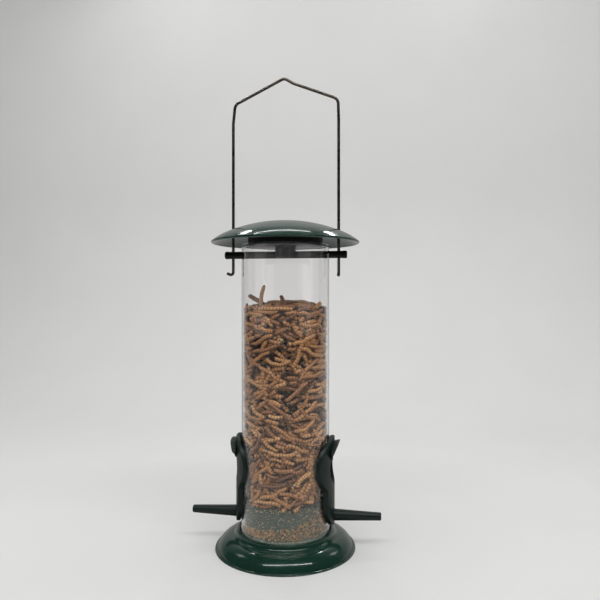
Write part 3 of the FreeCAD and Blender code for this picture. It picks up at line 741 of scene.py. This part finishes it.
def thrown_worms(rng, space):
    """Centre lines of curved worms thrown at random into the ring between the core and the tube."""
    count = WORM_COUNT
    length = rng.uniform(*WORM_LENGTH_MM, count)
    inside = rng.uniform(CORE_RADIUS_MM ** 2, (space.radius - 1.5) ** 2, count)
    on_top = rng.random(count) < 0.07
    inside = np.where(on_top, rng.uniform(0, (space.radius - 3) ** 2, count), inside)
    across = np.sqrt(inside)
    angle = rng.uniform(0, 2 * math.pi, count)
    height = rng.uniform(space.insert_top - 5, space.top - 1.5, count)
    height = np.where(on_top, rng.uniform(space.top - 8, space.top - 1.5, count), height)
    slope = rng.normal(0, 0.5, count)
    upright = (height < 78) & (rng.random(count) < 0.3)
    slope = np.where(upright, rng.normal(1.3, 0.25, count), slope)
    turn = np.maximum(np.abs(rng.normal(0.95, 0.5, count)), 0.1)
    outward = np.stack([np.cos(angle), np.sin(angle), np.zeros(count)], 1)
    round_wall = np.stack([-np.sin(angle), np.cos(angle), np.zeros(count)], 1)
    up = np.array([0.0, 0.0, 1.0])
    heading = round_wall * np.cos(slope)[:, None] + up * np.sin(slope)[:, None]
    bend_to = -round_wall * np.sin(slope)[:, None] + up * np.cos(slope)[:, None]
    lean = rng.normal(0, 0.35, count)
    flip = np.where(rng.random(count) < 0.22, -1.0, 1.0)
    bend_to = flip[:, None] * (bend_to + outward * lean[:, None])
    bend_to /= np.linalg.norm(bend_to, axis=1)[:, None]
    centre = outward * across[:, None] + up * height[:, None]
    share = np.linspace(-0.5, 0.5, WORM_POINTS)
    swing = turn[:, None] * share
    radius = (length / turn)[:, None]
    ahead = radius * np.sin(swing)
    aside = radius * (1 - np.cos(swing))
    return centre[:, None] + ahead[..., None] * heading[:, None] + aside[..., None] * bend_to[:, None]


def near_pairs(points, worm_of, reach):
    """Pairs of points of different worms that are within reach, found cell by cell."""
    cells = np.floor((points - points.min(0)) / reach).astype(int) + 1
    size = cells.max(0) + 2
    keys = (cells[:, 0] * size[1] + cells[:, 1]) * size[2] + cells[:, 2]
    order = np.argsort(keys, kind="stable")
    ranked = keys[order]
    places = np.arange(len(ranked))
    firsts = []
    seconds = []
    steps = [(x, y, z) for x in (-1, 0, 1) for y in (-1, 0, 1) for z in (-1, 0, 1)]
    for x, y, z in steps:
        shift = (x * size[1] + y) * size[2] + z
        if shift < 0:
            continue
        start = np.searchsorted(ranked, ranked + shift, "left")
        end = np.searchsorted(ranked, ranked + shift, "right")
        if shift == 0:
            start = places + 1
        counts = np.maximum(end - start, 0)
        first = np.repeat(places, counts)
        before = np.repeat(np.cumsum(counts) - counts, counts)
        second = np.arange(len(first)) - before + np.repeat(start, counts)
        firsts.append(order[first])
        seconds.append(order[second])
    first = np.concatenate(firsts)
    second = np.concatenate(seconds)
    near = np.linalg.norm(points[first] - points[second], axis=1) < reach
    near &= worm_of[first] != worm_of[second]
    return first[near], second[near]


def settle(points, space, steps):
    """Pushes the worms apart until they lie against each other, each keeping its own curve."""
    count, per_worm, _ = points.shape
    worm_of = np.repeat(np.arange(count), per_worm)
    chords = [
        (gap, np.linalg.norm(points[:, gap:] - points[:, :-gap], axis=2))
        for gap in (1, 2, 4, per_worm - 1)
    ]
    for step in range(steps):
        flat = points.reshape(-1, 3)
        if step % 4 == 0:
            first, second = near_pairs(flat, worm_of, WORM_GAP_MM + 1.2)
        apart = flat[second] - flat[first]
        distance = np.maximum(np.linalg.norm(apart, axis=1), 1e-6)
        overlap = np.maximum(WORM_GAP_MM - distance, 0)
        push = apart * (0.38 * overlap / distance)[:, None]
        moved = np.zeros_like(flat)
        for axis in range(3):
            moved[:, axis] += np.bincount(second, push[:, axis], len(flat))
            moved[:, axis] -= np.bincount(first, push[:, axis], len(flat))
        size = np.linalg.norm(moved, axis=1)
        moved *= np.minimum(1, 0.9 / np.maximum(size, 1e-6))[:, None]
        points += moved.reshape(points.shape)
        for gap, rest in chords:
            between = points[:, gap:] - points[:, :-gap]
            length = np.maximum(np.linalg.norm(between, axis=2), 1e-6)
            pull = between * (0.4 * (1 - rest / length))[..., None]
            points[:, :-gap] += pull
            points[:, gap:] -= pull
        across = np.hypot(points[..., 0], points[..., 1])
        points[..., :2] *= (1 + OUTWARD_MM / np.maximum(across, 1))[..., None]
        space.push_in(points, WORM_ROOM_MM)
    return points


def standing_worms():
    """Worms that stick up out of the heap and lie on its shoulders, as points in millimetres."""
    return [
        ((-14.6, -16.5, 171.5), (-14.3, -16.2, 180.0), (-12.3, -15.8, 187.2)),
        ((-25.0, -9.0, 180.2), (-19.5, -12.0, 177.4), (-12.0, -16.0, 173.5)),
        ((-27.7, -3.0, 174.3), (-27.0, -8.5, 169.5), (-22.5, -17.0, 164.5)),
        ((-2.6, -6.0, 180.0), (-0.6, -9.0, 176.0), (-1.5, -17.0, 168.0)),
        ((7.0, 2.0, 175.6), (14.0, -2.0, 175.4), (20.5, -8.0, 172.8)),
        ((26.0, -8.5, 175.2), (22.8, -14.0, 171.5), (15.5, -20.0, 165.5)),
        ((-8.0, 3.0, 175.0), (1.0, 1.5, 175.6), (11.0, 3.5, 174.8)),
        ((-13.0, -4.0, 174.5), (-5.5, -8.0, 175.2), (4.0, -10.5, 174.0)),
        ((3.0, -20.0, 171.6), (11.0, -17.0, 173.4), (18.5, -13.5, 172.3)),
        ((22.0, 10.0, 172.8), (16.5, 13.5, 174.0), (7.0, 17.0, 173.4)),
        ((-23.0, 10.0, 172.3), (-17.0, 14.0, 173.6), (-8.5, 18.5, 172.6)),
        ((-2.0, 12.0, 174.6), (6.0, 9.5, 175.4), (14.0, 10.5, 174.0)),
    ]


def curve_through(points, places):
    """Points on a smooth curve through a run of points, at places from 0 to 1 along it."""
    count = points.shape[1]
    position = np.clip(np.asarray(places) * (count - 1), 0, count - 1 - 1e-9)
    left = position.astype(int)
    share = (position - left)[None, :, None]
    padded = np.concatenate(
        [2 * points[:, :1] - points[:, 1:2], points, 2 * points[:, -1:] - points[:, -2:-1]], axis=1
    )
    a, b, c, d = (padded[:, left + shift] for shift in range(4))
    return 0.5 * (
        2 * b + (c - a) * share + (2 * a - 5 * b + 4 * c - d) * share ** 2
        + (3 * b - a - 3 * c + d) * share ** 3
    )


# ---------------------------------------------------------------- worms

def worm_radius(share, ring):
    """Radius of the ring at a share of a worm's length: full, and rounded off at both ends."""
    ends = (1 - abs(2 * share - 1) ** 8.0) ** 0.5
    swell = 1.04 if ring % 2 else 0.95
    return max(0.26, ends * swell)


def model_worm():
    """One worm along +Z from 0 to 1, its radius near 1, closed at both ends."""
    deselect_all()
    last = WORM_RINGS - 1
    radius = worm_radius(0, 0)
    bpy.ops.mesh.primitive_circle_add(
        vertices=WORM_SIDES, radius=radius, fill_type="NGON", location=(0, 0, 0)
    )
    worm = name_piece("worm")
    bpy.ops.object.mode_set(mode="EDIT")
    bpy.ops.mesh.select_all(action="SELECT")
    for ring in range(1, WORM_RINGS):
        wider = worm_radius(ring / last, ring)
        bpy.ops.mesh.extrude_region_move(TRANSFORM_OT_translate={"value": (0, 0, 1 / last)})
        bpy.ops.transform.resize(value=(wider / radius, wider / radius, 1))
        radius = wider
    bpy.ops.mesh.select_all(action="SELECT")
    bpy.ops.mesh.normals_make_consistent(inside=False)
    bpy.ops.object.mode_set(mode="OBJECT")
    bpy.ops.object.shade_smooth()
    return worm


def repeated(master, name, count):
    """A piece that holds count copies of a master shape, and the master's corners."""
    corners = np.zeros(len(master.data.vertices) * 3)
    master.data.vertices.foreach_get("co", corners)
    piece = master.copy()
    piece.data = master.data.copy()
    piece.name = name
    piece.data.name = name
    bpy.context.scene.collection.objects.link(piece)
    apply_modifier(piece, "ARRAY", count=count, use_relative_offset=False, use_constant_offset=False)
    return piece, corners.reshape(-1, 3)


def write_shape(piece, corners, **attributes):
    """Moves a piece's corners, and keeps a number for each in named attributes."""
    piece.data.vertices.foreach_set("co", corners.astype(np.float32).ravel())
    for name, values in attributes.items():
        kept = piece.data.attributes.new(name, "FLOAT", "POINT")
        kept.data.foreach_set("value", values.astype(np.float32).ravel())
    piece.data.update()


def worm_piece(name, master, spines, radii, tones, rolls):
    """A piece of worms bent along their centre lines, which are in millimetres."""
    piece, corners = repeated(master, name, len(spines))
    rings = np.rint(corners[:, 2] * (WORM_RINGS - 1)).astype(int)
    along = rings / (WORM_RINGS - 1)
    line = curve_through(spines, np.linspace(0, 1, WORM_RINGS))
    tangent = np.gradient(line, axis=1)
    tangent /= np.linalg.norm(tangent, axis=2)[..., None]
    side = np.stack([np.cos(rolls), np.sin(rolls), 0.3 + 0 * rolls], 1)
    sides = np.zeros_like(line)
    for ring in range(WORM_RINGS):
        here = tangent[:, ring]
        side = side - here * (side * here).sum(1)[:, None]
        side /= np.maximum(np.linalg.norm(side, axis=1), 1e-6)[:, None]
        sides[:, ring] = side
    over = np.cross(tangent, sides)
    flat = corners[:, :2][None] * radii[:, None, None]
    places = line[:, rings] + sides[:, rings] * flat[..., :1] + over[:, rings] * flat[..., 1:]
    write_shape(
        piece, places * MM,
        along=np.tile(along, len(spines)),
        tone=np.repeat(tones, len(corners)),
    )
    return piece


def make_worms(space):
    """The worms, settled together, in a few pieces from the foot of the feed to its top."""
    rng = np.random.default_rng(7)
    master = model_worm()
    spines = thrown_worms(rng, space)
    space.push_in(spines, WORM_ROOM_MM)
    spines = settle(spines, space, SETTLE_STEPS)
    standing = curve_through(np.array(standing_worms()), np.linspace(0, 1, WORM_POINTS))
    spines = np.concatenate([spines, standing])
    count = len(spines)
    radii = rng.uniform(*WORM_RADIUS_MM, count)
    tones = np.clip(rng.normal(0.55, 0.24, count), 0, 1)
    rolls = rng.uniform(0, 2 * math.pi, count)
    heights = spines[:, :, 2].mean(1)
    edges = np.quantile(heights, np.linspace(0, 1, len(FEED_BANDS) + 1))
    chitin = dried_chitin()
    pieces = []
    for band, name in enumerate(FEED_BANDS):
        inside = (heights >= edges[band]) & (heights <= edges[band + 1])
        if band:
            inside &= heights > edges[band]
        piece = worm_piece(
            f"mealworms_{name}", master, spines[inside], radii[inside], tones[inside], rolls[inside]
        )
        piece.data.materials.append(chitin)
        pieces.append(piece)
    bpy.data.objects.remove(master)
    return pieces


def make_core(space):
    """The heap inside, a lumpy column painted dark as the shade between the worms, that shows only
    between them.
    """
    deselect_all()
    rings = 26
    low = space.insert_top - 4.0
    high = space.top - 4.5
    radius = (CORE_RADIUS_MM - 0.8) * MM
    bpy.ops.mesh.primitive_circle_add(
        vertices=44, radius=radius, fill_type="NGON", location=(0, 0, low * MM)
    )
    core = name_piece("feed_core")
    bpy.ops.object.mode_set(mode="EDIT")
    bpy.ops.mesh.select_all(action="SELECT")
    step = (high - low) * MM / rings
    for _ in range(rings):
        bpy.ops.mesh.extrude_region_move(TRANSFORM_OT_translate={"value": (0, 0, step)})
    for _ in range(4):
        bpy.ops.mesh.inset(thickness=radius / 5, depth=0)
    bpy.ops.mesh.select_all(action="SELECT")
    bpy.ops.mesh.normals_make_consistent(inside=False)
    bpy.ops.object.mode_set(mode="OBJECT")
    bpy.ops.object.transform_apply(location=True)
    lumps = bpy.data.textures.new("feed_lumps", "CLOUDS")
    lumps.noise_scale = 5 * MM
    apply_modifier(
        core, "DISPLACE", texture=lumps, texture_coords="LOCAL", strength=3 * MM, mid_level=0.6
    )
    bpy.ops.object.shade_smooth()
    # the core's dark colour is painted shade between the worms
    core.data.materials.append(painted_shade_feed())
    return core


# ---------------------------------------------------------------- crumbs

def crumb_places(rng, space):
    """Centres and sizes of the crumbs between the insert and the tube, in millimetres.

    They lie deepest at the front and climb the right-hand side, and a few stray ones cling higher.
    """
    dust_low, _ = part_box("feed_dust")
    low = dust_low.z / MM
    angle = rng.uniform(-math.pi, math.pi, CRUMB_COUNT)
    right = np.maximum(np.sin(angle), 0)
    front = (1 + np.cos(angle - 0.35)) / 2
    top = low + 1.5 + 6.8 * front ** 2 + 11.5 * smoothed(0.35, 0.95, right) * front ** 0.3
    height = low + (top - low) * rng.random(CRUMB_COUNT) ** 1.15
    stray_angle = rng.uniform(-math.pi, math.pi, STRAY_COUNT)
    stray_height = rng.uniform(low, space.insert_top - 6, STRAY_COUNT)
    meal_angle = rng.uniform(-math.pi, math.pi, MEAL_COUNT)
    meal_height = low + 18 + (space.top - low - 22) * rng.random(MEAL_COUNT) ** 1.7
    angle = np.concatenate([angle, stray_angle, meal_angle])
    height = np.concatenate([height, stray_height, meal_height])
    size = np.concatenate([
        rng.uniform(0.32, 0.60, CRUMB_COUNT),
        rng.uniform(0.22, 0.44, STRAY_COUNT),
        rng.uniform(0.20, 0.42, MEAL_COUNT),
    ])
    tone = np.concatenate([
        rng.normal(0.50, 0.26, CRUMB_COUNT),
        rng.normal(0.88, 0.12, STRAY_COUNT),
        rng.normal(0.75, 0.25, MEAL_COUNT),
    ])
    # the gap between the insert and the tube widens up to the insert's shoulder
    rise = np.clip((height - low) / (space.insert_top - INSERT_CROWN - low), 0, 1)
    insert = space.radius - (space.radius - INSERT_SHOULDER) * rise
    outer = space.radius - size
    inner = np.minimum(insert + 0.25 + size * 0.3, outer)
    across = inner + (outer - inner) * rng.random(len(size))
    places = np.stack([across * np.sin(angle), -across * np.cos(angle), height], 1)
    return places, size, np.clip(tone, 0, 1)


def turned_at_random(rng, count):
    """Random rotation matrices, from random unit quaternions."""
    quaternion = rng.normal(size=(count, 4))
    w, x, y, z = (quaternion / np.linalg.norm(quaternion, axis=1)[:, None]).T
    rows = [
        [1 - 2 * (y * y + z * z), 2 * (x * y - w * z), 2 * (x * z + w * y)],
        [2 * (x * y + w * z), 1 - 2 * (x * x + z * z), 2 * (y * z - w * x)],
        [2 * (x * z - w * y), 2 * (y * z + w * x), 1 - 2 * (x * x + y * y)],
    ]
    return np.array(rows).transpose(2, 0, 1)


def make_crumbs(space):
    """All the crumbs as one piece: copies of one flattened grain, each misshapen in its own way."""
    rng = np.random.default_rng(11)
    deselect_all()
    bpy.ops.mesh.primitive_ico_sphere_add(subdivisions=1, radius=1, location=(0, 0, 0))
    master = name_piece("crumb")
    bpy.ops.object.mode_set(mode="EDIT")
    bpy.ops.mesh.select_all(action="SELECT")
    bpy.ops.transform.resize(value=(1.25, 0.8, 0.6))
    bpy.ops.object.mode_set(mode="OBJECT")
    places, size, tone = crumb_places(rng, space)
    count = len(places)
    crumbs, corners = repeated(master, "settled_crumbs", count)
    bpy.data.objects.remove(master)
    shaped = corners[None] * rng.uniform(0.7, 1.15, (count, len(corners), 1))
    shaped = shaped * size[:, None, None]
    turned = np.einsum("nij,nvj->nvi", turned_at_random(rng, count), shaped)
    write_shape(crumbs, (turned + places[:, None]) * MM, tone=np.repeat(tone, len(corners)))
    crumbs.data.materials.append(worm_crumbs())
    return crumbs


# ---------------------------------------------------------------- the whole object

def finish_parts():
    """Gives every CAD part its own finish."""
    enamel = stoved_enamel()
    green = moulded_polypropylene("green_polypropylene", "#101c18", "#1a2a25", 0.32, 0.46)
    black = moulded_polypropylene("black_green_polypropylene", "#060b09", "#0e1513", 0.36, 0.5)
    zinc = zinc_plate()
    coat(enamel, "base_dish", "lid_dome")
    for part in ("port", "baffle", "perch"):
        coat(green, f"right_{part}", f"left_{part}")
    coat(black, "crossbar", "lid_plug", "lid_saddle")
    coat(dusted_deflector(), "base_insert")
    coat(clear_polycarbonate(), "tube")
    coat(drawn_wire(), "wire_handle")
    coat(zinc, "base_screw", "base_washer", "lid_screw", "lid_washer")


def fill_with_feed():
    """The worms, the heap behind them and the crumbs, all carried by the tube."""
    space = Space()
    worms = make_worms(space)
    core = make_core(space)
    for piece in [*worms, core]:
        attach(piece, "feeder")
        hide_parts("mealworm_feed")
    crumbs = make_crumbs(space)
    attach(crumbs, "feeder")
    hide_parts("feed_dust")


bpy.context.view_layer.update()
make_camera()
light_studio()
make_sweep()
finish_parts()
fill_with_feed()
